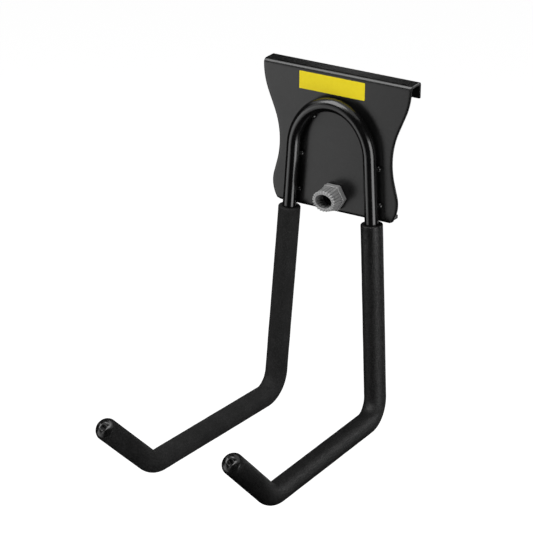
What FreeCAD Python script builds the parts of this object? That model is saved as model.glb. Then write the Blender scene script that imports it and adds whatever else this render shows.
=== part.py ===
import FreeCAD, Part
import math
import os

# Double utility hook for a garage wall rail.  Millimetres, +Z up, the wall is towards +Y.
# Everything is modelled with the top edge of the plate at z = 0 and its front face at
# y = 0, and is moved at the end so that the origin is the middle of the rail seat, the
# underside of the top web.

os.makedirs("parts", exist_ok=True)
V = FreeCAD.Vector

# folded plate
SHEET_T = 2.0            # sheet thickness
PLATE_W = 117.0          # width at the top
PLATE_H = 103.5          # top of the web to the underside of the bottom flange
BEND_IN = 1.0            # inner bend radius
LIP_BEND_IN = 0.3        # inner bend radius of the lip, folded harder
RAIL_GAP = 10.6          # clear width of the top channel
LIP_H = 11.8             # top of the web to the end of the lip
FLANGE_D = 15.3          # front face to the rear edge of the bottom flange
FLANGE_W = 87.0          # width of the bottom flange
SHOULDER_DROP = 13.0     # outline: top to the corner where the sides turn in
SHOULDER_R = 55.0        # outline: rounding of that corner
WAIST_W = 83.4           # outline: width between the waist corners before rounding
WAIST_DROP = 54.0        # outline: top to the waist corners
WAIST_R = 61.0           # outline: rounding of the waist
LOBE_W = 104.4           # outline: width between the lower corners before rounding
LOBE_RISE = 9.9          # outline: bottom edge up to those corners
LOBE_R = 24.0            # outline: rounding of the lower lobes
FOOT_W = 90.2            # outline: width at the bottom edge
CORNER_R = 1.5           # rear corners of the bottom flange
RELIEF_H = 1.6           # lower corners of the front, cut back beside the flange
RELIEF_OUT = 0.7         # that cut meets the outline this far outside the bottom edge
RELIEF_R = 0.5           # rounding where the cut meets the flange

# bent bar
ROD_D = 10.0             # bar diameter
CROWN_R = 27.0           # arch: centre-line radius of the crown
CROWN_HALF = 45.0        # arch: half angle of the crown
SIDE_R = 39.0            # arch: centre-line radius of the sides
ARCH_DROP = 22.5         # top edge of the plate down to the centre line at the apex
LEG_SPLAY = 3.4          # legs spread by this angle, degrees
LEG_LEAN = 1.35          # legs lean forward by this angle below the plate, degrees
KNEE_DROP = 247.9        # top edge of the plate down to the knee corner
KNEE_R = 16.0            # centre-line bend radius at the knees
ARM_REACH = 154.4        # knee corner to tip corner, forward
ARM_RISE = 3.0           # rise over that reach
ARM_SPREAD = 5.4         # sideways spread over that reach
TIP_R = 24.0             # centre-line bend radius at the tips
TIP_REACH = 53.8         # tip corner to the bar end, forward
TIP_RISE = 47.6          # rise over that reach
TIP_SPREAD = 2.4         # sideways spread over that reach
LEAN_R = 80.0            # easy bend under the plate
LEAN_DROP = 7.0          # plate to the corner of that bend
ROD_DOME = 2.6           # rounding of the bar ends

# sleeves
SLEEVE_D = 15.8          # outside diameter
SLEEVE_GAP = 0.2         # plate to sleeve
SLEEVE_OVER = 0.4        # sleeve runs past the bar end
SLEEVE_EDGE = 1.1        # rounded rim at the tip
SLEEVE_CHAMFER = 0.6     # broken rim under the plate

# tack welds
WELD_R = 1.5             # bead radius
WELD_L = 2.6             # bead length
WELD_OUT = 0.86          # bead centre off the bar's centre line, in bar radii
WELD_Y = -0.8            # bead centre in front of the plate
WELD_RISES = (39.5, 12.5)  # above the bottom edge, on each leg
WELD_ARCH = 48.5         # inside the arch, degrees from the top

# lock
LOCK_RISE = 12.1         # bottom edge of the plate up to the lock's axis
HEX_AF = 17.8            # knob flange across flats
HEX_T = 4.2              # knob flange thickness
HEX_BEVEL = 1.0          # turned bevel on the corners of the flange
HEX_STAND = 0.2          # that bevel ends this far outside the corners
KNOB_GAP = 0.5           # plate to knob
BARREL_L = 10.8          # barrel length in front of the flange
BARREL_STEP = 0.35       # barrel begins this far inside the flats of the flange
MOUTH_W = 17.8           # oval mouth of the barrel, over the ribs
MOUTH_H = 14.8
MOUTH_UP = 0.8           # middle of the mouth above the lock's axis
MOUTH_BREAK = 0.4        # bevel round the mouth
BORE_W = 13.3            # open bore at the mouth
BORE_H = 10.0
BORE_SEAT_D = 10.4       # round bottom of the bore
BORE_DEPTH = 11.8        # mouth to the seat of the screw's head
RIBS = 24                # grip ribs round the barrel
RIB_CROWN = 0.40         # share of the pitch taken by a rib's crown
RIB_SLOPE = 0.12         # share taken by each of its flanks
RIB_H = 0.65             # height of the ribs at the mouth
RIB_LOW = 0.4            # height of the ribs at the flange
THREAD_D = 8.0           # screw thread
THREAD_PLAY = 0.05       # radial running clearance in the insert
THREAD_BREAK = 0.5       # bevel at the end of the thread
HEAD_D = 9.4             # screw head
HEAD_H = 3.0
HEAD_BREAK = 0.6         # bevel round the head
SOCKET_AF = 4.0          # key socket across flats
SOCKET_DEPTH = 1.9
SOCKET_TURN = 15.0       # angle of the socket at rest, degrees
INSERT_D = 14.0          # insert behind the sheet, and mouth of its countersink
INSERT_T = 2.5           # how far it stands off the rear of the plate
INSERT_BREAK = 0.5       # bevel round its rear end
INSERT_LEAD = 0.4        # lead-in of its thread
INSERT_HOLE_D = 10.5     # hole in the front of the sheet
PAD_D = 16.0             # pad
PAD_T = 3.0
PAD_BREAK = 0.4          # bevels in front
PAD_EDGE = 0.6           # bevel round the face that presses
PAD_BOSS_D = 10.5        # boss of the pad
PAD_BOSS_H = 2.3
PAD_STAND = 5.2          # insert to pad boss, the way the pad can travel
PIVOT_D = 6.8            # foot of the screw held in the pad
PIVOT_IN = 0.9           # face of the boss to that foot
PIVOT_PAST = 0.4         # foot runs this far past the boss
NECK_D = 5.0             # neck between thread and foot
NECK_LEAD = 0.6          # neck begins this far in front of the boss
PIVOT_PLAY = 0.1         # running clearance round neck and foot

# label
LABEL_W = 52.2
LABEL_H = 12.8
LABEL_T = 0.2
LABEL_X = -3.4           # middle of the label, to the left of the middle of the plate
LABEL_DROP = 3.7         # top edge of the plate down to the label
LABEL_R = 0.5            # corner rounding

# modelling
CUT_PAST = 1.0           # a cutter reaches this far past what it cuts
SEAM = 0.5               # pieces of one solid overlap by this before they are joined
NEAR = 0.05              # how close a rim has to be to its expected place and length

# derived places
LOBE_DROP = PLATE_H - LOBE_RISE
LOCK_DROP = PLATE_H - LOCK_RISE
BEND_OUT = BEND_IN + SHEET_T
LIP_BEND_OUT = LIP_BEND_IN + SHEET_T
CHANNEL_D = RAIL_GAP + 2.0 * SHEET_T
SEAT = V(0.0, SHEET_T + RAIL_GAP / 2.0, -SHEET_T)
ROD_R = ROD_D / 2.0
ROD_Y = -ROD_R


def polygon_with_arcs(points, radii):
    """Closed wire edges in 2D through rounded corners; radius 0 keeps a sharp corner."""
    count = len(points)
    starts = []
    ends = []
    mids = []
    for i in range(count):
        p = points[i]
        a = points[i - 1]
        b = points[(i + 1) % count]
        r = radii[i]
        if r <= 0.0:
            starts.append(p)
            ends.append(p)
            mids.append(None)
            continue
        da = (a - p).normalize()
        db = (b - p).normalize()
        half = da.getAngle(db) / 2.0
        run = r / math.tan(half)
        middle = (da + db).normalize() * (r / math.sin(half) - r)
        starts.append(p + da * run)
        ends.append(p + db * run)
        mids.append(p + middle)
    edges = []
    for i in range(count):
        if mids[i] is not None:
            edges.append(Part.Arc(starts[i], mids[i], ends[i]).toShape())
        nxt = starts[(i + 1) % count]
        if (nxt - ends[i]).Length > 1e-6:
            edges.append(Part.makeLine(ends[i], nxt))
    return edges


def prism(points, radii, direction):
    """Solid from a rounded polygon pushed along a direction."""
    face = Part.Face(Part.Wire(polygon_with_arcs(points, radii)))
    return face.extrude(direction)


def side_profile():
    """The sheet seen from the side: lip, web, front and bottom flange, one thickness."""
    t = SHEET_T
    outer = [(CHANNEL_D, -LIP_H), (CHANNEL_D, 0.0), (0.0, 0.0), (0.0, -PLATE_H), (FLANGE_D, -PLATE_H)]
    inner = [(FLANGE_D, t - PLATE_H), (t, t - PLATE_H), (t, -t), (CHANNEL_D - t, -t), (CHANNEL_D - t, -LIP_H)]
    points = []
    for y, z in outer + inner:
        points.append(V(-PLATE_W / 2.0, y, z))
    radii = [0.0, LIP_BEND_OUT, BEND_OUT, BEND_OUT, 0.0, 0.0, BEND_IN, BEND_IN, LIP_BEND_IN, 0.0]
    return prism(points, radii, V(PLATE_W, 0.0, 0.0))


def outline_points():
    """Right half of the front outline: corner, rounding, from the top edge down."""
    return [
        (V(PLATE_W / 2.0, 0.0, 0.0), 0.0),
        (V(PLATE_W / 2.0, 0.0, -SHOULDER_DROP), SHOULDER_R),
        (V(WAIST_W / 2.0, 0.0, -WAIST_DROP), WAIST_R),
        (V(LOBE_W / 2.0, 0.0, -LOBE_DROP), LOBE_R),
        (V(FOOT_W / 2.0, 0.0, -PLATE_H), 0.0),
    ]


def front_outline(rear):
    """Waisted outline of the front as a prism that ends at a depth behind the front."""
    right = outline_points()
    points = []
    radii = []
    for p, r in right:
        points.append(V(p.x, -CUT_PAST, p.z))
        radii.append(r)
    for p, r in reversed(right):
        points.append(V(-p.x, -CUT_PAST, p.z))
        radii.append(r)
    return prism(points, radii, V(0.0, CUT_PAST + rear, 0.0))


def block(x0, x1, y0, y1, z0, z1):
    """Box between two corners."""
    return Part.makeBox(x1 - x0, y1 - y0, z1 - z0, V(x0, y0, z0))


def back_plate():
    """One folded sheet: channel and lip on top, waisted front, flange at the bottom."""
    folded = side_profile()
    half = FLANGE_W / 2.0
    wide = PLATE_W / 2.0 + CUT_PAST
    deep = CHANNEL_D + FLANGE_D
    low = -PLATE_H - CUT_PAST
    front = folded.common(front_outline(BEND_OUT))
    rear = folded.common(block(-wide, wide, BEND_OUT, deep, low, CUT_PAST))
    for x0, x1 in ((-wide, -half), (half, wide)):
        rear = rear.cut(block(x0, x1, 0.0, deep, low, low + SHEET_T + 2.0 * CUT_PAST))
    rear = round_flange_corners(rear, half)
    front = front.cut(corner_relief(half))
    plate = front.fuse(rear).removeSplitter()
    return plate.cut(insert_seat(CUT_PAST))


def round_flange_corners(rear, half):
    """Rounded rear corners of the bottom flange and of the lip."""
    chosen = []
    for edge in rear.Edges:
        a = edge.Vertexes[0].Point
        b = edge.Vertexes[-1].Point
        straight_z = abs(a.x - b.x) < 1e-6 and abs(a.y - b.y) < 1e-6
        at_rear = abs(a.y - FLANGE_D) < 1e-6 and abs(abs(a.x) - half) < 1e-6
        if straight_z and at_rear:
            chosen.append(edge)
    return rear.makeFillet(CORNER_R, chosen)


def corner_relief(half):
    """Cuts the lower corners of the front back to where the narrower flange begins."""
    low = -PLATE_H
    under = low - CUT_PAST
    meet = FOOT_W / 2.0 + RELIEF_OUT
    out = PLATE_W / 2.0
    cuts = []
    for sign in (-1.0, 1.0):
        corners = [(half, under), (half, low + 0.01), (meet, low + RELIEF_H), (out, low + RELIEF_H), (out, under)]
        points = [V(sign * x, -CUT_PAST, z) for x, z in corners]
        radii = [0.0, RELIEF_R, 2.0 * RELIEF_R, 0.0, 0.0]
        cuts.append(prism(points, radii, V(0.0, BEND_OUT + 2.0 * CUT_PAST, 0.0)))
    return cuts[0].fuse(cuts[1])


def round_face(point, direction, radius):
    """Round section at a point, square to a direction."""
    return Part.Face(Part.Wire(Part.Circle(point, direction, radius).toShape()))


def leg_corner_points():
    """Corners of the right half of the bar below the arch, from the arch to the bar end."""
    splay = math.radians(LEG_SPLAY)
    lean = math.radians(LEG_LEAN)
    start = arch_end()
    ease_z = -(PLATE_H + LEAN_DROP)
    ease = V(start.x + (start.z - ease_z) * math.tan(splay), ROD_Y, ease_z)
    drop = KNEE_DROP + ease_z
    knee = V(ease.x + drop * math.tan(splay), ease.y - drop * math.tan(lean), -KNEE_DROP)
    tip = knee + V(ARM_SPREAD, -ARM_REACH, ARM_RISE)
    end = tip + V(TIP_SPREAD, -TIP_REACH, TIP_RISE)
    return [start, ease, knee, tip, end]


def crown_centre():
    """Centre of the arch's crown."""
    return V(0.0, ROD_Y, -ARCH_DROP - CROWN_R)


def side_centre():
    """Centre of the arc that carries the crown on into the right leg."""
    half = math.radians(CROWN_HALF)
    return crown_centre() + V(math.sin(half), 0.0, math.cos(half)) * (CROWN_R - SIDE_R)


def arch_end():
    """Where the right side of the arch runs into the leg."""
    splay = math.radians(LEG_SPLAY)
    return side_centre() + V(math.cos(splay), 0.0, math.sin(splay)) * SIDE_R


def leg_path():
    """Line and arc pieces of the right half below the arch."""
    corners = leg_corner_points()
    radii = [LEAN_R, KNEE_R, TIP_R]
    pieces = []
    here = corners[0]
    for i in range(1, len(corners) - 1):
        p = corners[i]
        into = (p - corners[i - 1]).normalize()
        out = (corners[i + 1] - p).normalize()
        turn = into.getAngle(out)
        run = radii[i - 1] * math.tan(turn / 2.0)
        axis = into.cross(out).normalize()
        first = p - into * run
        inward = axis.cross(into).normalize()
        centre = first + inward * radii[i - 1]
        pieces.append(("line", here, first))
        pieces.append(("arc", first, into, centre, axis, math.degrees(turn)))
        here = p + out * run
    pieces.append(("line", here, corners[-1]))
    return pieces


def arch_path():
    """Arc pieces of the right half of the arch, from the apex to the leg."""
    half = math.radians(CROWN_HALF)
    crown = crown_centre()
    apex = crown + V(0.0, 0.0, CROWN_R)
    joint = crown + V(math.sin(half), 0.0, math.cos(half)) * CROWN_R
    axis = V(0.0, 1.0, 0.0)
    heading = V(math.cos(half), 0.0, -math.sin(half))
    rest = 90.0 - LEG_SPLAY - CROWN_HALF
    return [
        ("arc", apex, V(1.0, 0.0, 0.0), crown, axis, CROWN_HALF),
        ("arc", joint, heading, side_centre(), axis, rest),
    ]


def sweep(pieces, radius):
    """Round bar along line and arc pieces, fused into one solid."""
    solids = []
    for piece in pieces:
        if piece[0] == "line":
            run = piece[2] - piece[1]
            solids.append(round_face(piece[1], run, radius).extrude(run))
        else:
            face = round_face(piece[1], piece[2], radius)
            solids.append(face.revolve(piece[3], piece[4], piece[5]))
    body = solids[0].fuse(solids[1:])
    return body.removeSplitter()


def rim_edges(shape, points, diameter):
    """Round end edges of a bar or tube at the given end points."""
    rims = []
    for edge in shape.Edges:
        near = min((edge.CenterOfMass - p).Length for p in points)
        if near < NEAR and abs(edge.Length - math.pi * diameter) < NEAR:
            rims.append(edge)
    return rims


def stretched(pieces, before, after):
    """The same path with its first and last straight made longer."""
    pieces = list(pieces)
    kind, a, b = pieces[0]
    pieces[0] = (kind, a - (b - a).normalize() * before, b)
    kind, a, b = pieces[-1]
    pieces[-1] = (kind, a, b + (b - a).normalize() * after)
    return pieces


def mirror_x(shape):
    return shape.mirror(V(0.0, 0.0, 0.0), V(1.0, 0.0, 0.0))


def weld_bead(spot, along):
    """Short bead in the groove between bar and sheet, lying along a direction."""
    along = along.normalize()
    return Part.makeCylinder(WELD_R, WELD_L, spot - along * (WELD_L / 2.0), along)


def tack_welds():
    """Beads on both sides of the right leg and inside the right half of the arch."""
    off = ROD_R * WELD_OUT
    start = arch_end()
    splay = math.radians(LEG_SPLAY)
    down = V(math.sin(splay), 0.0, -math.cos(splay))
    beads = []
    for rise in WELD_RISES:
        z = rise - PLATE_H
        x = start.x + (start.z - z) * math.tan(splay)
        beads.append(weld_bead(V(x - off, WELD_Y, z), V(down)))
        beads.append(weld_bead(V(x + off, WELD_Y, z), V(down)))
    angle = math.radians(WELD_ARCH)
    centre = side_centre()
    reach = SIDE_R - off
    spot = V(centre.x + math.sin(angle) * reach, WELD_Y, centre.z + math.cos(angle) * reach)
    beads.append(weld_bead(spot, V(math.cos(angle), 0.0, -math.sin(angle))))
    room = block(-PLATE_W, PLATE_W, -ROD_D, 0.0, -PLATE_H, 0.0)
    return [bead.common(room) for bead in beads]


def hook_rod():
    """One bent bar: arch on the plate, two legs, two arms, two raised tips."""
    pieces = arch_path() + leg_path()
    right = sweep(pieces, ROD_R)
    end = leg_corner_points()[-1]
    right = right.makeFillet(ROD_DOME, rim_edges(right, [end], ROD_D))
    for bead in tack_welds():
        right = right.fuse(bead)
    rod = right.fuse(mirror_x(right)).removeSplitter()
    return rod


def sleeve_path():
    """The bar's path from just under the plate to a little past the bar end."""
    pieces = leg_path()
    top_z = -(PLATE_H + SLEEVE_GAP)
    first = pieces[0]
    run = (first[2] - first[1]).normalize()
    skipped = (top_z - first[1].z) / run.z
    return stretched(pieces, -skipped, SLEEVE_OVER)


def right_sleeve():
    """Soft tube over leg, arm and tip."""
    pieces = sleeve_path()
    tube = sweep(pieces, SLEEVE_D / 2.0)
    tube = tube.makeFillet(SLEEVE_EDGE, rim_edges(tube, [pieces[-1][2]], SLEEVE_D))
    tube = tube.makeChamfer(SLEEVE_CHAMFER, rim_edges(tube, [pieces[0][1]], SLEEVE_D))
    return tube.cut(sweep(stretched(pieces, CUT_PAST, CUT_PAST), ROD_R))


def left_sleeve():
    return mirror_x(right_sleeve())


def y_cylinder(radius, y0, y1):
    """Cylinder about the lock's axis between two depths."""
    return Part.makeCylinder(radius, y1 - y0, V(0.0, y0, -LOCK_DROP), V(0.0, 1.0, 0.0))


def y_turned(points):
    """Solid turned about the lock's axis from (radius, y) points."""
    wire = []
    for r, y in points:
        wire.append(V(r, y, -LOCK_DROP))
    wire.append(wire[0])
    face = Part.Face(Part.makePolygon(wire))
    return face.revolve(V(0.0, 0.0, -LOCK_DROP), V(0.0, 1.0, 0.0), 360.0)


def hexagon(flats, y, length, turn):
    """Six-sided prism about the lock's axis."""
    reach = flats / math.sqrt(3.0)
    points = []
    for i in range(7):
        a = math.radians(60.0 * i + turn)
        points.append(V(reach * math.cos(a), y, -LOCK_DROP + reach * math.sin(a)))
    return Part.Face(Part.makePolygon(points)).extrude(V(0.0, length, 0.0))


def insert_seat(past):
    """Hole of the insert in the sheet, countersunk from the rear, as a cutter."""
    shank = INSERT_HOLE_D / 2.0
    collar = INSERT_D / 2.0
    front = [(0.0, -past), (shank, -past), (shank, 0.0)]
    rear = [(collar, SHEET_T), (collar, SHEET_T + past), (0.0, SHEET_T + past)]
    return y_turned(front + rear)


def knob_face():
    """Depth of the knob's flange in front."""
    return -KNOB_GAP - HEX_T


def head_seat():
    """Depth of the seat of the screw's head, the bottom of the knob's bore."""
    return knob_face() - BARREL_L + BORE_DEPTH


def pad_boss():
    """Depth of the front of the pad's boss."""
    return SHEET_T + INSERT_T + PAD_STAND


def pivot_span():
    """Depths of the front and rear of the screw's foot in the pad."""
    return pad_boss() + PIVOT_IN, pad_boss() + PAD_BOSS_H + PIVOT_PAST


def rib_shares():
    """Corners of one rib as (share of the pitch, on the crown) pairs."""
    half = RIB_CROWN / 2.0
    foot = half + RIB_SLOPE
    return [(-foot, False), (-half, True), (half, True), (foot, False)]


def barrel_section(y, reach, up, height):
    """Ribbed section of the barrel; reach gives the place of a crown at an angle."""
    points = []
    for i in range(RIBS):
        for share, crown in rib_shares():
            a = 2.0 * math.pi * (i + share) / RIBS
            outward = V(math.cos(a), 0.0, math.sin(a))
            inset = 0.0 if crown else height
            points.append(reach(a) - outward * inset + V(0.0, y, up - LOCK_DROP))
    return Part.makePolygon(points + [points[0]])


def flange_reach(a):
    """Outline of the barrel's foot, six-sided like the flange."""
    turned = math.fmod(a + 2.0 * math.pi, math.pi / 3.0) - math.pi / 6.0
    far = (HEX_AF / 2.0 - BARREL_STEP) / math.cos(turned)
    return V(math.cos(a) * far, 0.0, math.sin(a) * far)


def mouth_reach(a):
    """Outline of the oval mouth behind its bevel."""
    return V(math.cos(a) * MOUTH_W / 2.0, 0.0, math.sin(a) * MOUTH_H / 2.0)


def mouth_rim(a):
    """Outline of the oval mouth inside its bevel."""
    wide = MOUTH_W / 2.0 - MOUTH_BREAK
    tall = MOUTH_H / 2.0 - MOUTH_BREAK
    return V(math.cos(a) * wide, 0.0, math.sin(a) * tall)


def barrel():
    """Ribbed barrel from the six-sided flange to the oval mouth."""
    face = knob_face()
    mouth = face - BARREL_L
    sections = [
        barrel_section(face + SEAM, flange_reach, 0.0, RIB_LOW),
        barrel_section(face, flange_reach, 0.0, RIB_LOW),
        barrel_section(mouth + MOUTH_BREAK, mouth_reach, MOUTH_UP, RIB_H),
        barrel_section(mouth, mouth_rim, MOUTH_UP, RIB_H - MOUTH_BREAK / 2.0),
    ]
    return Part.makeLoft(sections, True, True)


def oval_mouth(y):
    """Rim of the oval bore at a depth, in two halves."""
    centre = V(0.0, y, MOUTH_UP - LOCK_DROP)
    curve = Part.Ellipse(centre + V(BORE_W / 2.0, 0.0, 0.0), centre + V(0.0, 0.0, BORE_H / 2.0), centre)
    return Part.Wire([curve.toShape(0.0, math.pi), curve.toShape(math.pi, 2.0 * math.pi)])


def round_seat(y):
    """Rim of the round bottom of the bore at a depth, in two halves that start like the oval's."""
    centre = V(0.0, y, -LOCK_DROP)
    across = V(BORE_SEAT_D / 2.0, 0.0, 0.0)
    up = V(0.0, 0.0, BORE_SEAT_D / 2.0)
    upper = Part.Arc(centre + across, centre + up, centre - across).toShape()
    lower = Part.Arc(centre - across, centre - up, centre + across).toShape()
    return Part.Wire([upper, lower])


def knob_bore():
    """Open bore, oval at the mouth and round at the seat of the screw's head, as a cutter."""
    mouth = knob_face() - BARREL_L
    sections = [
        oval_mouth(mouth - CUT_PAST),
        oval_mouth(mouth),
        round_seat(head_seat()),
    ]
    return Part.makeLoft(sections, True, True)


def lock_knob():
    """Moulded knob: six-sided flange, ribbed barrel, open bore, web for the screw."""
    back = -KNOB_GAP
    face = knob_face()
    flange = hexagon(HEX_AF, face, HEX_T, 0.0)
    tall = HEX_AF / math.sqrt(3.0) + HEX_STAND
    bevel = HEX_BEVEL + HEX_STAND
    trim = y_turned([(0.0, face), (tall - bevel, face), (tall, face + HEX_BEVEL), (tall, back), (0.0, back)])
    knob = flange.common(trim).fuse(barrel())
    knob = knob.cut(knob_bore())
    knob = knob.cut(y_cylinder(THREAD_D / 2.0, head_seat() - CUT_PAST, back + CUT_PAST))
    return knob.removeSplitter()


def lock_screw():
    """Jack screw: socket head in the knob's bore, thread through the insert, captive foot."""
    seat = head_seat()
    top = seat - HEAD_H
    shoulder = pad_boss() - NECK_LEAD
    foot0, foot1 = pivot_span()
    thread = THREAD_D / 2.0
    major = thread - THREAD_PLAY
    head = HEAD_D / 2.0
    neck = NECK_D / 2.0
    pivot = PIVOT_D / 2.0
    points = [(0.0, top), (head - HEAD_BREAK, top), (head, top + HEAD_BREAK), (head, seat)]
    points += [(thread, seat), (thread, -KNOB_GAP), (major, -KNOB_GAP)]
    points += [(major, shoulder - THREAD_BREAK), (major - THREAD_BREAK, shoulder), (neck, shoulder)]
    points += [(neck, foot0), (pivot, foot0), (pivot, foot1), (0.0, foot1)]
    socket = hexagon(SOCKET_AF, top - CUT_PAST, SOCKET_DEPTH + CUT_PAST, SOCKET_TURN)
    return y_turned(points).cut(socket)


def clinch_nut():
    """Round threaded insert: conical seat in the sheet, plain collar behind it."""
    rear = SHEET_T + INSERT_T
    bore = THREAD_D / 2.0
    shank = INSERT_HOLE_D / 2.0
    collar = INSERT_D / 2.0
    points = [(bore, 0.0), (shank, 0.0), (collar, SHEET_T), (collar, rear - INSERT_BREAK)]
    points += [(collar - INSERT_BREAK, rear), (bore + INSERT_LEAD, rear), (bore, rear - INSERT_LEAD)]
    return y_turned(points)


def clamp_pad():
    """Swivel pad that keeps the foot of the screw captive."""
    play = PIVOT_PLAY
    boss = pad_boss()
    step = boss + PAD_BOSS_H
    rear = step + PAD_T
    foot0, foot1 = pivot_span()
    neck = NECK_D / 2.0 + play
    foot = PIVOT_D / 2.0 + play
    boss_r = PAD_BOSS_D / 2.0
    pad_r = PAD_D / 2.0
    points = [(neck, boss), (boss_r - PAD_BREAK, boss), (boss_r, boss + PAD_BREAK), (boss_r, step)]
    points += [(pad_r - PAD_BREAK, step), (pad_r, step + PAD_BREAK), (pad_r, rear - PAD_EDGE)]
    points += [(pad_r - PAD_EDGE, rear), (0.0, rear), (0.0, foot1 + play), (foot, foot1 + play)]
    points += [(foot, foot0 - play), (neck, foot0 - play)]
    return y_turned(points)


def front_label():
    """Thin bare sticker on the front, rounded corners."""
    x0 = LABEL_X - LABEL_W / 2.0
    x1 = LABEL_X + LABEL_W / 2.0
    z1 = -LABEL_DROP
    z0 = z1 - LABEL_H
    points = [V(x0, -LABEL_T, z0), V(x1, -LABEL_T, z0), V(x1, -LABEL_T, z1), V(x0, -LABEL_T, z1)]
    return prism(points, [LABEL_R] * 4, V(0.0, LABEL_T, 0.0))


NODES = {
    "back_plate": back_plate,
    "hook_rod": hook_rod,
    "left_sleeve": left_sleeve,
    "right_sleeve": right_sleeve,
    "front_label": front_label,
    "lock_knob": lock_knob,
    "lock_screw": lock_screw,
    "clinch_nut": clinch_nut,
    "clamp_pad": clamp_pad,
}

for name, make in NODES.items():
    shape = make().Solids[0].translated(SEAT * -1.0)
    box = shape.BoundBox
    print(name, shape.isValid(), round(shape.Volume, 1), [round(v, 2) for v in (
        box.XMin, box.XMax, box.YMin, box.YMax, box.ZMin, box.ZMax)])
    shape.exportStep("parts/" + name + ".step")
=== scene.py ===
import math
from collections import namedtuple
import bmesh
import bpy
from mathutils import Matrix, Vector, noise


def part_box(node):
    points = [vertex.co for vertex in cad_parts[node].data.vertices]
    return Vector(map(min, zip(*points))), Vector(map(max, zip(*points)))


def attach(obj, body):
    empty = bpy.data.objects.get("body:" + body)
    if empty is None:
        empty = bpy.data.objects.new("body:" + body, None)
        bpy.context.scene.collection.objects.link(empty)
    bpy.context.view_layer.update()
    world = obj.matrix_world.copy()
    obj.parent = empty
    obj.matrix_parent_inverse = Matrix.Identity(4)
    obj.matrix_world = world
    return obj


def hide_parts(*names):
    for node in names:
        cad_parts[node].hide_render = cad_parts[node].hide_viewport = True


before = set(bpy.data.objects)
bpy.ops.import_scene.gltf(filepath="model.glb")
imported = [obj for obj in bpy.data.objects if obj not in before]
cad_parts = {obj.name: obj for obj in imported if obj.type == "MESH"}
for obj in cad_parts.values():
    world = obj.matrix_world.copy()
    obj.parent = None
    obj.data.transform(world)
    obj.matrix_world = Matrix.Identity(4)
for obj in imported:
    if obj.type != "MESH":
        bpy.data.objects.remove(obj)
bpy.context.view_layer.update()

# Double utility hook: looks.  Metres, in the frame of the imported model: the origin is the
# middle of the rail seat, the front of the plate looks towards -Y, +Z is up.

MM = 0.001

# the plate, as the model has it
FRONT_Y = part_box("back_plate")[0].y
TOP_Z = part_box("back_plate")[1].z
FOOT_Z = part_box("back_plate")[0].z

# the bar, as the model has it
ROD_D = 10.0 * MM
ROD_AXIS_Y = FRONT_Y - ROD_D / 2.0
LEG_SPLAY = math.radians(3.4)
LEG_LEAN = math.radians(1.35)
ARCH_END = Vector((30.446 * MM, ROD_AXIS_Y, TOP_Z - 55.673 * MM))
EASE_Z = FOOT_Z - 7.0 * MM
KNEE_Z = TOP_Z - 247.9 * MM
ARM = Vector((5.4, -154.4, 3.0)) * MM
TIP = Vector((2.4, -53.8, 47.6)) * MM
BENDS = [80.0 * MM, 16.0 * MM, 24.0 * MM]

# the knob, as the model has it
KNOB_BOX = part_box("lock_knob")
KNOB_MOUTH = Vector((0.0, KNOB_BOX[0].y, (KNOB_BOX[0].z + KNOB_BOX[1].z) / 2.0))
KNOB_CORNER = KNOB_BOX[1].x
HEX_AF = KNOB_BOX[1].z - KNOB_BOX[0].z
BARREL_L = 10.8 * MM
BARREL_STEP = 0.35 * MM
MOUTH_W = 17.8 * MM
MOUTH_H = 14.8 * MM
MOUTH_UP = 0.8 * MM
BORE_W = 13.3 * MM
BORE_H = 10.0 * MM
BORE_SEAT_D = 10.4 * MM
BORE_DEPTH = 11.8 * MM
RIBS = 24
RIB_STEPS = 12
SPLINES = 14
SPLINE_STEPS = 14
THREAD_PITCH = 1.25 * MM

# tack welds between the bar and the plate
WELD_OFF = 4.5 * MM
WELD_RISES = (39.5 * MM, 12.5 * MM)
WELD_ARCH = math.radians(48.5)
WELD_OUT = 0.8 * MM
WELD_SIZE = (2.2 * MM, 1.9 * MM, 1.95 * MM)
SIDE_R = 39.0 * MM

# foam sleeves
SLEEVE_TOP = FOOT_Z - 0.2 * MM
SLEEVE_OVER = 0.4 * MM
LEFT_SLEEVE_D = 15.9 * MM
RIGHT_SLEEVE_D = 15.8 * MM
SLEEVE_PLAY = 0.03 * MM
SLEEVE_STEP = 1.5 * MM
SLEEVE_SIDES = 56
TOP_RIM_R = 0.7 * MM
TOP_RIM_STEPS = 5
CREASED_BEND_R = 24.0 * MM

# closed tips: heights, and places as shares of the radius
SHOULDER = 4.2 * MM
TIP_STEPS = 24
TIP_BULGE = 1.8 * MM
PINHOLE_R = 0.05 * MM
DIMPLE = 1.7 * MM
DIMPLE_SHARE = 0.32
FOLD = 0.8 * MM
FOLD_FROM = 0.12
FOLD_SPAN = 0.56
FOLD_TURN = math.radians(88.0)
FUSED_SHARE = 0.88

# wear of the foam: the tips stay dusty, and the top of a worn sleeve is rubbed smooth
DUSTY_FROM_Y = -196.0 * MM
DUSTY_FADE = 14.0 * MM
RUBBED_FROM_Z = SLEEVE_TOP - 48.0 * MM
RUBBED_TO_Z = SLEEVE_TOP - 6.0 * MM

# studio: the lamps and screens stand round a point near the middle of the plate
MIDDLE = Vector((0.0, -12.0, -60.0)) * MM
SCREEN_R = 1.4
SCREEN_FACET = 12.0
SCREEN_GAP = 0.03
FLOOR_Z = -1.0
FLOOR_REACH = 30.0
FLOOR_GLOW = 0.85
WORLD_FILL = 0.12

# name, azimuth and elevation in degrees, distance, width and height in metres, radiance
LAMPS = (
    ("top_box", -38.0, 60.0, 1.25, 0.95, 1.05, 5.3),
    ("right_box", 71.0, -10.0, 0.9, 0.5, 0.75, 4.0),
    ("left_box", -46.0, -12.0, 1.2, 0.6, 0.55, 1.3),
    ("rear_box", 144.0, 9.0, 1.2, 0.5, 0.45, 4.0),
    ("back_box", 194.0, -22.0, 1.25, 0.6, 0.45, 0.9),
)

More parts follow.
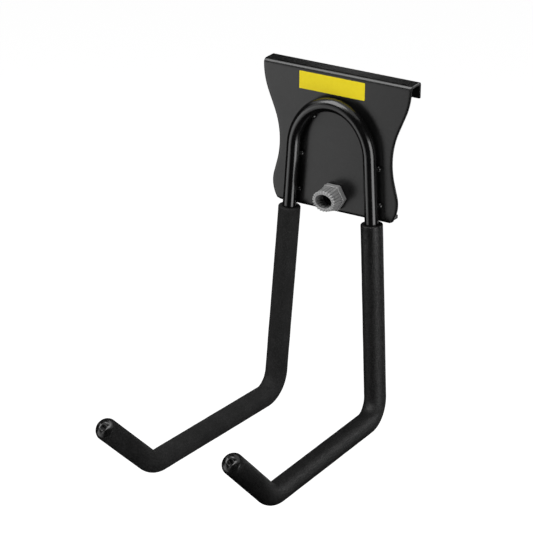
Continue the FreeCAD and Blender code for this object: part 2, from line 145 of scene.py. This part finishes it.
# name, azimuths and elevations in degrees
SCREENS = (
    ("camera_screen", (5.0, 50.0), (-40.0, 46.0)),
    ("left_screen", (-38.0, 5.0), (12.0, 36.0)),
    ("front_screen", (-18.0, 5.0), (-40.0, 12.0)),
    ("right_screen", (50.0, 92.0), (18.0, 46.0)),
    ("rear_screen_right", (92.0, 128.0), (-40.0, 62.0)),
    ("rear_screen_middle", (128.0, 160.0), (24.0, 62.0)),
    ("rear_screen_between", (128.0, 160.0), (-16.0, -4.0)),
    ("rear_screen_corner", (128.0, 141.0), (-30.0, -16.0)),
    ("rear_screen_under", (128.0, 160.0), (-40.0, -30.0)),
    ("rear_screen_left", (160.0, 262.0), (-40.0, 19.0)),
    ("rear_screen_top", (160.0, 262.0), (24.0, 62.0)),
    ("rear_screen_back", (160.0, 206.8), (19.0, 24.0)),
    ("rear_screen_side", (210.4, 262.0), (19.0, 24.0)),
    ("side_screen", (262.0, 300.0), (-40.0, 28.0)),
    ("low_screen", (0.0, 360.0), (-90.0, -40.0)),
)

# one point of a centre line; curve points into the bend, and its length is the turn per metre
Station = namedtuple("Station", "centre heading curve")

# one ring of a swept tube; soft is how far the foam's unevenness applies
Ring = namedtuple("Ring", "centre heading size soft curve fold fused", defaults=(0.0, Vector(), 0.0, False))


class Finish:
    """A node material round one Principled shader."""

    def __init__(self, name, **sockets):
        self.material = bpy.data.materials.new(name)
        self.material.use_nodes = True
        self.tree = self.material.node_tree
        self.shader = self.tree.nodes["Principled BSDF"]
        for key, value in sockets.items():
            self.shader.inputs[key.replace("_", " ")].default_value = value
        self.place = self.tree.nodes.new("ShaderNodeTexCoord").outputs["Object"]

    def node(self, kind, inputs=(), **settings):
        """A new node with its inputs linked or set, and its settings."""
        made = self.tree.nodes.new(kind)
        for key, value in settings.items():
            setattr(made, key, value)
        for key, value in dict(inputs).items():
            if isinstance(value, bpy.types.NodeSocket):
                self.tree.links.new(value, made.inputs[key])
            else:
                made.inputs[key].default_value = value
        return made

    def stretched(self, scale):
        """Object coordinates, stretched by three factors."""
        return self.node("ShaderNodeMapping", {"Vector": self.place, "Scale": scale}).outputs["Vector"]

    def noise(self, size, detail=2.0, rough=0.5, vector=None):
        """Noise with patches of about that size, in metres."""
        found = self.node("ShaderNodeTexNoise", {
            "Vector": vector or self.place, "Scale": 1.0 / size, "Detail": detail, "Roughness": rough})
        return found.outputs["Fac"]

    def cells(self, size):
        """Cell pattern with cells of about that size, in metres."""
        found = self.node("ShaderNodeTexVoronoi", {"Vector": self.place, "Scale": 1.0 / size})
        return found.outputs["Distance"]

    def spread(self, value, low, high, start=0.3, end=0.7):
        """A value taken from one span to another."""
        found = self.node("ShaderNodeMapRange", {
            "Value": value, "From Min": start, "From Max": end, "To Min": low, "To Max": high})
        return found.outputs["Result"]

    def maths(self, operation, a, b):
        """Sum, product or the like of two numbers or sockets."""
        return self.node("ShaderNodeMath", {0: a, 1: b}, operation=operation).outputs[0]

    def tones(self, value, *stops):
        """Colour ramp through (place, colour) stops."""
        ramp = self.node("ShaderNodeValToRGB", {"Fac": value})
        elements = ramp.color_ramp.elements
        while len(elements) < len(stops):
            elements.new(0.5)
        for element, (place, colour) in zip(elements, stops):
            element.position = place
            element.color = (*colour, 1.0)
        return ramp.outputs["Color"]

    def bump(self, height, depth, strength=1.0, under=None):
        """Bump of that depth in metres, on top of another one."""
        inputs = {"Height": height, "Distance": depth, "Strength": strength}
        if under is not None:
            inputs["Normal"] = under
        return self.node("ShaderNodeBump", inputs).outputs["Normal"]

    def drive(self, **links):
        """The material, with those sockets of its shader linked."""
        for key, socket in links.items():
            self.tree.links.new(socket, self.shader.inputs[key.replace("_", " ")])
        return self.material


def grey(value, warm=0.0):
    """Linear grey, a little warm or cool."""
    return (value * (1.0 + warm), value, value * (1.0 - warm))


def sheet_coat():
    """Satin black powder coat with a faint orange peel, rolling over the edges of upright faces."""
    f = Finish("sheet_coat", Specular_IOR_Level=0.45)
    patches = f.noise(22 * MM, 3.0)
    peel = f.noise(0.9 * MM, 2.0)
    grain = f.noise(0.22 * MM, 1.0)
    rounded = f.node("ShaderNodeBevel", {"Radius": 2.6 * MM}, samples=8).outputs["Normal"]
    facing = f.node("ShaderNodeNewGeometry").outputs["Normal"]
    rise = f.node("ShaderNodeSeparateXYZ", {0: facing}).outputs["Z"]
    upright = f.maths("SUBTRACT", 1.0, f.maths("ABSOLUTE", rise, 0.0))
    part = f.node("ShaderNodeVectorMath", {0: rounded, "Scale": upright}, operation="SCALE").outputs[0]
    total = f.node("ShaderNodeVectorMath", {0: part, 1: facing}, operation="ADD").outputs[0]
    soft_edge = f.node("ShaderNodeVectorMath", {0: total}, operation="NORMALIZE").outputs[0]
    colour = f.tones(patches, (0.3, grey(0.0035)), (0.7, grey(0.0045)))
    rough = f.maths("ADD", f.spread(patches, 0.25, 0.30), f.spread(grain, -0.03, 0.03))
    normal = f.bump(grain, 0.004 * MM, under=f.bump(peel, 0.012 * MM, under=soft_edge))
    return f.drive(Base_Color=colour, Roughness=rough, Normal=normal)


def bar_coat():
    """Glossier black coat of the bar, with fine drag marks from bending."""
    f = Finish("bar_coat", Specular_IOR_Level=0.5)
    patches = f.noise(9 * MM, 3.0)
    peel = f.noise(0.8 * MM, 2.0)
    colour = f.tones(patches, (0.3, grey(0.0035)), (0.7, grey(0.0045)))
    rough = f.spread(patches, 0.17, 0.22)
    return f.drive(Base_Color=colour, Roughness=rough, Normal=f.bump(peel, 0.006 * MM))


def foam_skin(name, gloss, rough_low, rough_high, tone, worn):
    """Fine-celled black foam with open pores: dusty at the tips, rubbed smooth near the plate where worn."""
    f = Finish(name)
    place = f.node("ShaderNodeSeparateXYZ", {0: f.place}).outputs
    polish = f.spread(place["Y"], gloss * 0.35, gloss, DUSTY_FROM_Y, DUSTY_FROM_Y + DUSTY_FADE)
    specks = f.spread(f.noise(0.9 * MM, 2.0), 1.0 - 0.3 * worn, 1.0 + 0.45 * worn, 0.42, 0.6)
    shine = f.maths("MULTIPLY", polish, specks)
    rubbed = f.spread(place["Z"], 0.0, 0.16 * worn, RUBBED_FROM_Z, RUBBED_TO_Z)
    pores = f.cells(0.8 * MM)
    grain = f.noise(1.0 * MM, 3.0, 0.65)
    patches = f.noise(14 * MM, 2.0)
    height = f.maths("ADD", f.spread(pores, 0.0, 1.0, 0.0, 0.6), grain)
    shade = f.maths("ADD", f.maths("MULTIPLY", grain, 0.8), f.maths("MULTIPLY", patches, 0.2))
    colour = f.tones(shade, (0.34, grey(tone * 0.4)), (0.5, grey(tone)), (0.66, grey(tone * 2.2)))
    rough = f.maths("SUBTRACT", f.spread(grain, rough_low, rough_high), rubbed)
    return f.drive(Base_Color=colour, Specular_IOR_Level=shine, Roughness=rough,
                   Normal=f.bump(height, 0.16 * MM, 0.9))


def fused_skin():
    """Foam melted shut at the tips: black, smooth and glossy with small dents."""
    f = Finish("fused_skin", Specular_IOR_Level=0.42)
    dents = f.noise(2.2 * MM, 2.0)
    colour = f.tones(f.noise(0.8 * MM, 2.0), (0.3, grey(0.003)), (0.7, grey(0.008)))
    rough = f.spread(dents, 0.2, 0.29)
    return f.drive(Base_Color=colour, Roughness=rough, Normal=f.bump(dents, 0.015 * MM))


def label_film():
    """Bare printed film: plain yellow, faint ink mottle and a soft gloss."""
    f = Finish("label_film", Specular_IOR_Level=0.2)
    mottle = f.noise(2.5 * MM, 3.0)
    colour = f.tones(mottle, (0.3, (0.97, 0.775, 0.018)), (0.7, (1.0, 0.81, 0.022)))
    rough = f.spread(f.noise(1.2 * MM, 2.0), 0.36, 0.46)
    return f.drive(Base_Color=colour, Roughness=rough, Normal=f.bump(f.noise(3 * MM), 0.01 * MM))


def knob_plastic(name, tone, rough):
    """Moulded plastic with a fine spark-eroded grain and faint flow marks."""
    f = Finish(name, Specular_IOR_Level=0.5)
    flow = f.noise(3.0 * MM, 3.0, vector=f.stretched((1.0, 0.35, 1.0)))
    grain = f.noise(0.16 * MM, 2.0)
    colour = f.tones(flow, (0.3, grey(tone * 0.9)), (0.7, grey(tone * 1.1)))
    roughness = f.spread(grain, rough, rough + 0.14)
    return f.drive(Base_Color=colour, Roughness=roughness, Normal=f.bump(grain, 0.012 * MM))


def black_oxide(axis):
    """Black-oxided steel of the screw, slightly oily, with its thread as a helical groove."""
    f = Finish("black_oxide", Metallic=0.6, Specular_IOR_Level=0.5)
    marks = f.noise(0.5 * MM, 3.0, vector=f.stretched((1.0, 6.0, 1.0)))
    colour = f.tones(marks, (0.3, grey(0.018)), (0.7, grey(0.035)))
    rough = f.spread(marks, 0.34, 0.48)
    place = f.node("ShaderNodeSeparateXYZ", {0: f.place}).outputs
    turn = f.maths("ARCTAN2", f.maths("SUBTRACT", place["Z"], axis.z),
                   f.maths("SUBTRACT", place["X"], axis.x))
    turns = f.maths("MULTIPLY", turn, 0.5 / math.pi)
    climb = f.maths("ADD", f.maths("MULTIPLY", place["Y"], 1.0 / THREAD_PITCH), turns)
    thread = f.maths("PINGPONG", climb, 0.5)
    shank = f.spread(place["Y"], 0.0, 1.0, axis.y + BORE_DEPTH, axis.y + BORE_DEPTH + 0.2 * MM)
    normal = f.bump(marks, 0.008 * MM, under=f.bump(thread, 0.9 * MM, shank))
    return f.drive(Base_Color=colour, Roughness=rough, Normal=normal)


def zinc():
    """Zinc-plated steel of the insert, with fine lines from turning."""
    f = Finish("zinc_insert", Metallic=1.0)
    marks = f.noise(0.5 * MM, 3.0, vector=f.stretched((1.0, 6.0, 1.0)))
    cloud = f.noise(2.5 * MM, 3.0)
    colour = f.tones(cloud, (0.3, grey(0.46, 0.01)), (0.7, grey(0.58, 0.02)))
    rough = f.spread(marks, 0.28, 0.42)
    return f.drive(Base_Color=colour, Roughness=rough, Normal=f.bump(marks, 0.008 * MM))


def pad_plastic():
    """Tough black plastic of the clamping pad, scuffed a little."""
    f = Finish("pad_plastic", Specular_IOR_Level=0.45)
    scuffs = f.noise(0.7 * MM, 4.0, 0.6, vector=f.stretched((1.0, 1.0, 0.2)))
    colour = f.tones(scuffs, (0.4, grey(0.022)), (0.7, grey(0.045)))
    rough = f.spread(scuffs, 0.42, 0.6)
    return f.drive(Base_Color=colour, Roughness=rough, Normal=f.bump(scuffs, 0.01 * MM))


def dress(node, material):
    """The material on every slot of a CAD node."""
    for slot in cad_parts[node].material_slots:
        slot.material = material


def bar_corners(side):
    """Corners of the bar below the arch on one side, -1 left and 1 right."""
    start = ARCH_END
    ease = start + Vector((math.tan(LEG_SPLAY), 0.0, -1.0)) * (start.z - EASE_Z)
    knee = ease + Vector((math.tan(LEG_SPLAY), -math.tan(LEG_LEAN), -1.0)) * (EASE_Z - KNEE_Z)
    tip = knee + ARM
    points = [start, ease, knee, tip, tip + TIP]
    return [Vector((side * p.x, p.y, p.z)) for p in points]


def bent_line(corners, bends, step):
    """Even stations along straight runs joined by round bends."""
    points = []
    here = corners[0]
    for i, bend in enumerate(bends):
        p = corners[i + 1]
        into = (p - corners[i]).normalized()
        out = (corners[i + 2] - p).normalized()
        turn = into.angle(out)
        run = bend * math.tan(turn / 2.0)
        first = p - into * run
        points += straight(here, first, step)
        axis = into.cross(out).normalized()
        inward = axis.cross(into).normalized()
        centre = first + inward * bend
        count = max(2, round(bend * turn / step))
        for k in range(count):
            spin = Matrix.Rotation(turn * k / count, 3, axis)
            points.append(Station(centre + spin @ (first - centre), spin @ into, (spin @ inward) / bend))
        here = p + out * run
    last = corners[-1]
    points += straight(here, last, step)
    points.append(Station(last, (last - here).normalized(), Vector()))
    return points


def straight(a, b, step):
    """Even stations from a up to, but not at, b."""
    count = max(1, round((b - a).length / step))
    heading = (b - a).normalized()
    return [Station(a.lerp(b, k / count), heading, Vector()) for k in range(count)]


def sleeve_line(side):
    """Centre line of a sleeve, from just under the plate to a little past the bar end."""
    corners = bar_corners(side)
    down = (corners[1] - corners[0]).normalized()
    corners[0] = corners[0] + down * ((SLEEVE_TOP - corners[0].z) / down.z)
    out = (corners[-1] - corners[-2]).normalized()
    corners[-1] = corners[-1] + out * SLEEVE_OVER
    return bent_line(corners, BENDS, SLEEVE_STEP)


def foam_radius(point, across, curve, radius):
    """Outside radius of the foam at one place: uneven cut, and creases inside the bends."""
    place = point + across * radius
    slow = noise.noise(place / (16 * MM)) * 0.07 * MM
    quick = noise.noise(place / (3.5 * MM)) * 0.04 * MM
    inside = max(0.0, across.dot(curve) * CREASED_BEND_R)
    crease = noise.noise(Vector((place.x / (30 * MM), place.y / (2.6 * MM), place.z / (2.6 * MM))))
    return radius + slow + quick + inside * (crease * 0.16 - 0.06) * MM


def foam_sleeve(name, side, diameter, node, material):
    """Foam tube over one leg, arm and tip, with a rounded rim at the top and a closed end."""
    radius = diameter / 2.0
    rings = sleeve_rings(sleeve_line(side), radius, ROD_D / 2.0 + SLEEVE_PLAY)
    count = len(rings)
    verts = []
    for ring in rings:
        sideways = Vector((1.0, 0.0, 0.0))
        sideways = (sideways - ring.heading * sideways.dot(ring.heading)).normalized()
        upwards = ring.heading.cross(sideways)
        for k in range(SLEEVE_SIDES):
            a = 2.0 * math.pi * k / SLEEVE_SIDES
            across = sideways * math.cos(a) + upwards * math.sin(a)
            reach = ring.size
            if ring.soft > 0.0:
                reach += (foam_radius(ring.centre, across, ring.curve, radius) - radius) * ring.soft
            verts.append(ring.centre + across * reach + ring.heading * ring.fold * gather(a))
    faces = []
    for i in range(count):
        for k in range(SLEEVE_SIDES):
            a = i * SLEEVE_SIDES + k
            b = i * SLEEVE_SIDES + (k + 1) % SLEEVE_SIDES
            c = (i + 1) % count * SLEEVE_SIDES + (k + 1) % SLEEVE_SIDES
            d = (i + 1) % count * SLEEVE_SIDES + k
            faces.append((a, b, c, d))
    mesh = bpy.data.meshes.new(name)
    mesh.from_pydata(verts, [], faces)
    piece = finished(name, mesh, material)
    mesh.materials.append(fused_skin_material)
    fused = [i for i in range(count) if rings[i].fused]
    for polygon in mesh.polygons:
        if fused[1] <= polygon.index // SLEEVE_SIDES < fused[-1]:
            polygon.material_index = 1
    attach(piece, "hook")
    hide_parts(node)


def sleeve_rings(line, radius, bore):
    """Rings of the closed tube: top rim, outside, tip and back along the bore."""
    top = line[0]
    tip = line[-1]
    rings = rim(top.centre, top.heading, radius, bore)
    for station in line:
        below_rim = (station.centre - top.centre).length > 1.6 * TOP_RIM_R
        before_tip = (station.centre - tip.centre).length > 1.4 * SHOULDER
        if below_rim and before_tip:
            rings.append(Ring(station.centre, station.heading, radius, 1.0, station.curve))
    rings += tip_dome(tip.centre, tip.heading, radius, bore)
    for station in reversed(line[2:-2:4]):
        rings.append(Ring(station.centre, station.heading, bore))
    return rings


def gather(a):
    """1 on the three folds that close the tip and 0 in the sharp creases between them."""
    return abs(math.cos(1.5 * (a - FOLD_TURN)))


def tip_dome(end, heading, radius, bore):
    """Rings of the closed tip: a round shoulder, three gathered folds and a dimple in the middle."""
    rings = []
    for k in range(TIP_STEPS + 1):
        share = 1.0 - k / TIP_STEPS
        crown = TIP_BULGE * math.sqrt(max(0.0, 1.0 - share ** 2.2))
        shoulder = (SHOULDER - TIP_BULGE) * share ** 6
        dimple = DIMPLE * max(0.0, 1.0 - share / DIMPLE_SHARE) ** 1.3
        across_fold = min(1.0, max(0.0, (share - FOLD_FROM) / FOLD_SPAN))
        swell = math.sin(math.pi * across_fold) ** 1.6
        centre = end + heading * (crown - shoulder - dimple)
        size = max(PINHOLE_R, radius * share)
        rings.append(Ring(centre, heading, size, 0.6 * share, fold=FOLD * swell, fused=share < FUSED_SHARE))
    for back, size in ((0.3 * MM, PINHOLE_R), (0.32 * MM, bore - 0.2 * MM), (0.6 * MM, bore)):
        rings.append(Ring(end - heading * back, heading, size))
    return rings


def rim(end, heading, radius, bore):
    """Rings across the top end, from the bore over the rounded outer edge."""
    face = (radius - TOP_RIM_R + bore) / 2.0
    rings = [
        Ring(end + heading * 0.35 * MM, heading, bore),
        Ring(end + heading * 0.12 * MM, heading, bore + 0.15 * MM),
        Ring(end - heading * 0.02 * MM, heading, face, 0.3),
    ]
    for k in range(TOP_RIM_STEPS + 1):
        a = math.pi / 2.0 * k / TOP_RIM_STEPS
        centre = end + heading * TOP_RIM_R * (1.0 - math.cos(a))
        rings.append(Ring(centre, heading, radius - TOP_RIM_R * (1.0 - math.sin(a)), 0.6))
    return rings


def knob_reach(a, back):
    """Crown of the knob's barrel at an angle, from the oval mouth (0) to the six-sided foot (1)."""
    mouth = Vector((math.cos(a) * MOUTH_W / 2.0, math.sin(a) * MOUTH_H / 2.0 + MOUTH_UP))
    turned = math.fmod(a + 2.0 * math.pi, math.pi / 3.0) - math.pi / 6.0
    far = (HEX_AF / 2.0 - BARREL_STEP) / math.cos(turned)
    return mouth.lerp(Vector((math.cos(a) * far, math.sin(a) * far)), back)


def bore_reach(a, back):
    """Wall of the knob's bore at an angle, from the oval mouth (0) to the round seat (1)."""
    mouth = Vector((math.cos(a) * BORE_W / 2.0, math.sin(a) * BORE_H / 2.0 + MOUTH_UP))
    return mouth.lerp(Vector((math.cos(a), math.sin(a))) * BORE_SEAT_D / 2.0, back)


def turned_piece(name, steps, section, material):
    """Closed ring about the knob's axis; section gives (x, depth, z) points at an angle."""
    verts = []
    for k in range(steps):
        verts += section(2.0 * math.pi * k / steps)
    count = len(verts) // steps
    faces = []
    for k in range(steps):
        n = (k + 1) % steps
        for i in range(count):
            j = (i + 1) % count
            faces.append((k * count + i, k * count + j, n * count + j, n * count + i))
    mesh = bpy.data.meshes.new(name)
    mesh.from_pydata([KNOB_MOUTH + Vector(v) for v in verts], [], faces)
    piece = finished(name, mesh, material)
    mesh.set_sharp_from_angle(angle=math.radians(35.0))
    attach(piece, "knob")


def rib_wave(a):
    """1 on the crown of a grip rib and 0 in the groove, with soft flanks."""
    wave = math.cos(a * RIBS)
    return min(1.0, max(0.0, 0.5 + wave * 1.3))


def mouth_ring_section(a):
    """Toothed ring round the mouth of the knob, in (depth, lift) of its outside and its inside."""
    outward = Vector((math.cos(a), math.sin(a)))
    tooth = rib_wave(a)
    groove = 0.64 * (1.0 - tooth)
    points = []
    for depth, lift in ((1.7, 0.02), (0.5, 0.16), (0.3 - 0.46 * tooth, -0.30)):
        place = knob_reach(a, max(0.0, depth) * MM / BARREL_L) + outward * (lift - groove) * MM
        points.append((place.x, depth * MM, place.y))
    for depth, lift in ((-0.16, 0.22), (0.06, 0.0), (0.9, 0.06)):
        place = bore_reach(a, max(0.0, depth) * MM / BORE_DEPTH) + outward * lift * MM
        points.append((place.x, depth * MM, place.y))
    return points


def flange_ridge_section(a):
    """Raised edge along the front of the six-sided flange, in (depth, inset)."""
    turned = math.fmod(a + 2.0 * math.pi, math.pi / 3.0) - math.pi / 6.0
    outward = Vector((math.cos(a), math.sin(a)))
    profile = ((0.25, -0.05), (-0.1, -0.05), (-0.22, 0.1), (-0.22, 0.3), (0.0, 0.55), (0.3, 0.6))
    points = []
    for depth, inset in profile:
        far = min((HEX_AF / 2.0 - inset * MM) / math.cos(turned), KNOB_CORNER - inset * MM)
        place = outward * far
        points.append((place.x, BARREL_L + depth * MM, place.y))
    return points


def bore_lining_section(a):
    """Splined wall inside the bore, from the mouth to the screw's head, in (depth, lift); it wears a darker
    copy of the knob plastic as painted shade.
    """
    outward = Vector((math.cos(a), math.sin(a)))
    wall = -0.12
    crest = wall - 0.5 * min(1.0, max(0.0, 0.5 + math.cos(a * SPLINES) * 1.6))
    points = []
    for depth, lift in ((0.5, 0.06), (0.5, -0.03), (2.4, wall), (2.7, crest), (7.4, crest), (7.4, 0.06)):
        place = bore_reach(a, depth * MM / BORE_DEPTH) + outward * lift * MM
        points.append((place.x, depth * MM, place.y))
    return points


def weld_beads():
    """Lumpy tack welds over those of the model, in the groove between bar and plate."""
    down = Vector((math.sin(LEG_SPLAY), 0.0, -math.cos(LEG_SPLAY)))
    across = Vector((math.cos(LEG_SPLAY), 0.0, math.sin(LEG_SPLAY)))
    spots = []
    for rise in WELD_RISES:
        middle = ARCH_END + down * (ARCH_END.z - FOOT_Z - rise) / math.cos(LEG_SPLAY)
        spots += [(middle - across * WELD_OFF, down), (middle + across * WELD_OFF, down)]
    centre = ARCH_END - across * SIDE_R
    outward = Vector((math.sin(WELD_ARCH), 0.0, math.cos(WELD_ARCH)))
    along_arch = Vector((math.cos(WELD_ARCH), 0.0, -math.sin(WELD_ARCH)))
    spots.append((centre + outward * (SIDE_R - WELD_OFF), along_arch))
    count = 0
    for spot, heading in spots:
        for side in (-1, 1):
            count += 1
            place = Vector((side * spot.x, FRONT_Y - WELD_OUT, spot.z))
            lumpy_bead("weld_%d" % count, place, Vector((side * heading.x, 0.0, heading.z)))


def lumpy_bead(name, place, heading):
    """One tack weld: a small uneven drop of metal."""
    length, depth, width = WELD_SIZE
    outward = Vector((0.0, 1.0, 0.0))
    sideways = heading.cross(outward).normalized()
    bm = bmesh.new()
    bmesh.ops.create_icosphere(bm, subdivisions=3, radius=1.0)
    for v in bm.verts:
        lumps = 0.16 * noise.noise(v.co * 1.3 + place / (4 * MM))
        ripples = 0.06 * noise.noise(v.co * 3.7 + place / MM)
        p = v.co * (1.0 + lumps + ripples)
        v.co = place + heading * p.x * length + sideways * p.z * width + outward * p.y * depth
    mesh = bpy.data.meshes.new(name)
    bm.to_mesh(mesh)
    bm.free()
    piece = finished(name, mesh, bar_coat_material)
    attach(piece, "hook")


def finished(name, mesh, material):
    """Object from a mesh, closed, with outward smooth faces and its material."""
    bm = bmesh.new()
    bm.from_mesh(mesh)
    bmesh.ops.recalc_face_normals(bm, faces=bm.faces)
    bm.to_mesh(mesh)
    bm.free()
    mesh.materials.append(material)
    mesh.polygons.foreach_set("use_smooth", [True] * len(mesh.polygons))
    piece = bpy.data.objects.new(name, mesh)
    bpy.context.scene.collection.objects.link(piece)
    return piece


def camera():
    """The photograph's camera: azimuth and elevation round a point beside the hook."""
    azimuth = math.radians(30.833)
    elevation = math.radians(22.357)
    roll = math.radians(0.577)
    distance = 2210.21 * MM
    target = Vector((-54.82 * MM, FRONT_Y + 0.14 * MM, TOP_Z - 157.01 * MM))
    focal_px = 3075.62
    frame_px = 533
    sa, ca = math.sin(azimuth), math.cos(azimuth)
    se, ce = math.sin(elevation), math.cos(elevation)
    back = Vector((sa * ce, -ca * ce, se))
    level = Vector((ca, sa, 0.0))
    rise = Vector((-sa * se, ca * se, ce))
    right = level * math.cos(roll) + rise * math.sin(roll)
    up = rise * math.cos(roll) - level * math.sin(roll)
    data = bpy.data.cameras.new("camera")
    data.sensor_width = 36.0
    data.lens = focal_px / frame_px * data.sensor_width
    data.clip_start = 0.1
    data.clip_end = 50.0
    cam = bpy.data.objects.new("camera", data)
    bpy.context.scene.collection.objects.link(cam)
    basis = Matrix((right, up, back)).transposed()
    cam.matrix_world = Matrix.Translation(target + back * distance) @ basis.to_4x4()
    bpy.context.scene.camera = cam


def direction(azimuth, elevation):
    """Unit vector; azimuth 0 is in front of the plate and positive to the right."""
    a, e = math.radians(azimuth), math.radians(elevation)
    return Vector((math.sin(a) * math.cos(e), -math.cos(a) * math.cos(e), math.sin(e)))


def softbox(name, azimuth, elevation, distance, width, height, radiance):
    """Soft lamp that faces the hook from one direction."""
    data = bpy.data.lights.new(name, "AREA")
    data.shape = "RECTANGLE"
    data.size = width
    data.size_y = height
    data.energy = radiance * math.pi * width * height
    lamp = bpy.data.objects.new(name, data)
    bpy.context.scene.collection.objects.link(lamp)
    towards = direction(azimuth, elevation)
    lamp.location = MIDDLE + towards * distance
    lamp.rotation_mode = "QUATERNION"
    lamp.rotation_quaternion = towards.to_track_quat("Z", "Y")


def black_screen(name, azimuths, elevations):
    """Bent black screen that shows only in reflections, as set up round glossy black products."""
    turns = max(1, round((azimuths[1] - azimuths[0]) / SCREEN_FACET))
    rises = max(1, round((elevations[1] - elevations[0]) / SCREEN_FACET))
    verts = []
    for i in range(turns + 1):
        azimuth = azimuths[0] + (azimuths[1] - azimuths[0]) * i / turns
        for k in range(rises + 1):
            elevation = elevations[0] + (elevations[1] - elevations[0]) * k / rises
            place = MIDDLE + direction(azimuth, elevation) * SCREEN_R
            place.z = max(place.z, FLOOR_Z + SCREEN_GAP)
            verts.append(place)
    faces = []
    for i in range(turns):
        for k in range(rises):
            a = i * (rises + 1) + k
            faces.append((a, a + 1, a + rises + 2, a + rises + 1))
    mesh = bpy.data.meshes.new(name)
    mesh.from_pydata(verts, [], faces)
    mesh.materials.append(screen_black_material)
    screen = bpy.data.objects.new(name, mesh)
    bpy.context.scene.collection.objects.link(screen)
    screen.visible_camera = False
    screen.visible_diffuse = False
    screen.visible_transmission = False
    screen.visible_shadow = False


def screen_black():
    """Black felt of the screens."""
    f = Finish("screen_black", Roughness=0.95, Specular_IOR_Level=0.0)
    return f.drive(Base_Color=f.tones(f.noise(50 * MM), (0.3, grey(0.002)), (0.7, grey(0.004))))


def seen_by_camera_or_gloss(tree):
    """1 for camera, glossy and transmission rays, else 0."""
    path = tree.nodes.new("ShaderNodeLightPath")
    either = tree.nodes.new("ShaderNodeMath")
    either.operation = "MAXIMUM"
    tree.links.new(path.outputs["Is Camera Ray"], either.inputs[0])
    tree.links.new(path.outputs["Is Glossy Ray"], either.inputs[1])
    both = tree.nodes.new("ShaderNodeMath")
    both.operation = "MAXIMUM"
    tree.links.new(either.outputs[0], both.inputs[0])
    tree.links.new(path.outputs["Is Transmission Ray"], both.inputs[1])
    return both.outputs[0]


def mixed_strength(tree, factor, other, shown):
    """Strength that is one value for shown rays and another for the rest."""
    span = tree.nodes.new("ShaderNodeMapRange")
    span.inputs["To Min"].default_value = other
    span.inputs["To Max"].default_value = shown
    tree.links.new(factor, span.inputs["Value"])
    return span.outputs["Result"]


def white_world():
    """White surround for camera and mirror rays, and a weak fill on the object."""
    world = bpy.data.worlds.new("studio")
    bpy.context.scene.world = world
    world.use_nodes = True
    tree = world.node_tree
    background = tree.nodes["Background"]
    background.inputs["Color"].default_value = (1.0, 1.0, 1.0, 1.0)
    strength = mixed_strength(tree, seen_by_camera_or_gloss(tree), WORLD_FILL, 1.0)
    tree.links.new(strength, background.inputs["Strength"])


def floor_paper():
    """Pale paper that looks white where it is seen, and lights nothing by itself."""
    paper = bpy.data.materials.new("floor_paper")
    paper.use_nodes = True
    tree = paper.node_tree
    shader = tree.nodes["Principled BSDF"]
    shader.inputs["Base Color"].default_value = (0.9, 0.9, 0.9, 1.0)
    shader.inputs["Roughness"].default_value = 0.9
    shader.inputs["Specular IOR Level"].default_value = 0.0
    shader.inputs["Emission Color"].default_value = (1.0, 1.0, 1.0, 1.0)
    glow = mixed_strength(tree, seen_by_camera_or_gloss(tree), 0.0, FLOOR_GLOW)
    tree.links.new(glow, shader.inputs["Emission Strength"])
    return paper


def pale_floor():
    """Wide level floor under the hook."""
    r = FLOOR_REACH
    corners = [(-r, -r, FLOOR_Z), (r, -r, FLOOR_Z), (r, r, FLOOR_Z), (-r, r, FLOOR_Z)]
    mesh = bpy.data.meshes.new("floor")
    mesh.from_pydata(corners, [], [(0, 1, 2, 3)])
    mesh.materials.append(floor_paper())
    floor = bpy.data.objects.new("floor", mesh)
    bpy.context.scene.collection.objects.link(floor)


screen_black_material = screen_black()
sheet_coat_material = sheet_coat()
bar_coat_material = bar_coat()
fused_skin_material = fused_skin()
dull_foam = foam_skin("dull_foam", gloss=0.19, rough_low=0.62, rough_high=0.82, tone=0.0125, worn=0.0)
worn_foam = foam_skin("worn_foam", gloss=0.23, rough_low=0.42, rough_high=0.56, tone=0.0055, worn=1.0)
# Lighter copy of the knob plastic: painted highlight on the mouth ring and the flange's front edge.
painted_highlight_plastic = knob_plastic("painted_highlight_plastic", tone=0.41, rough=0.40)
# Darker copy of the knob plastic: painted shade inside the bore.
painted_shade_plastic = knob_plastic("painted_shade_plastic", tone=0.12, rough=0.5)
dress("back_plate", sheet_coat_material)
dress("hook_rod", bar_coat_material)
dress("front_label", label_film())
dress("lock_knob", knob_plastic("knob_plastic", tone=0.26, rough=0.46))
dress("lock_screw", black_oxide(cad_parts["lock_screw"].matrix_world.inverted() @ KNOB_MOUTH))
dress("clinch_nut", zinc())
dress("clamp_pad", pad_plastic())

foam_sleeve("left_foam", -1, LEFT_SLEEVE_D, "left_sleeve", dull_foam)
foam_sleeve("right_foam", 1, RIGHT_SLEEVE_D, "right_sleeve", worn_foam)
# Mouth ring and flange ridge wear the lighter copy of the knob plastic as a painted highlight.
turned_piece("mouth_ring", RIBS * RIB_STEPS, mouth_ring_section, painted_highlight_plastic)
turned_piece("flange_ridge", RIBS * RIB_STEPS, flange_ridge_section, painted_highlight_plastic)
# The bore lining wears the darker copy of the knob plastic as painted shade.
turned_piece("bore_lining", SPLINES * SPLINE_STEPS, bore_lining_section, painted_shade_plastic)
weld_beads()

camera()
white_world()
pale_floor()
for lamp in LAMPS:
    softbox(*lamp)
for screen in SCREENS:
    black_screen(*screen)
bpy.context.scene.view_settings.view_transform = "Standard"
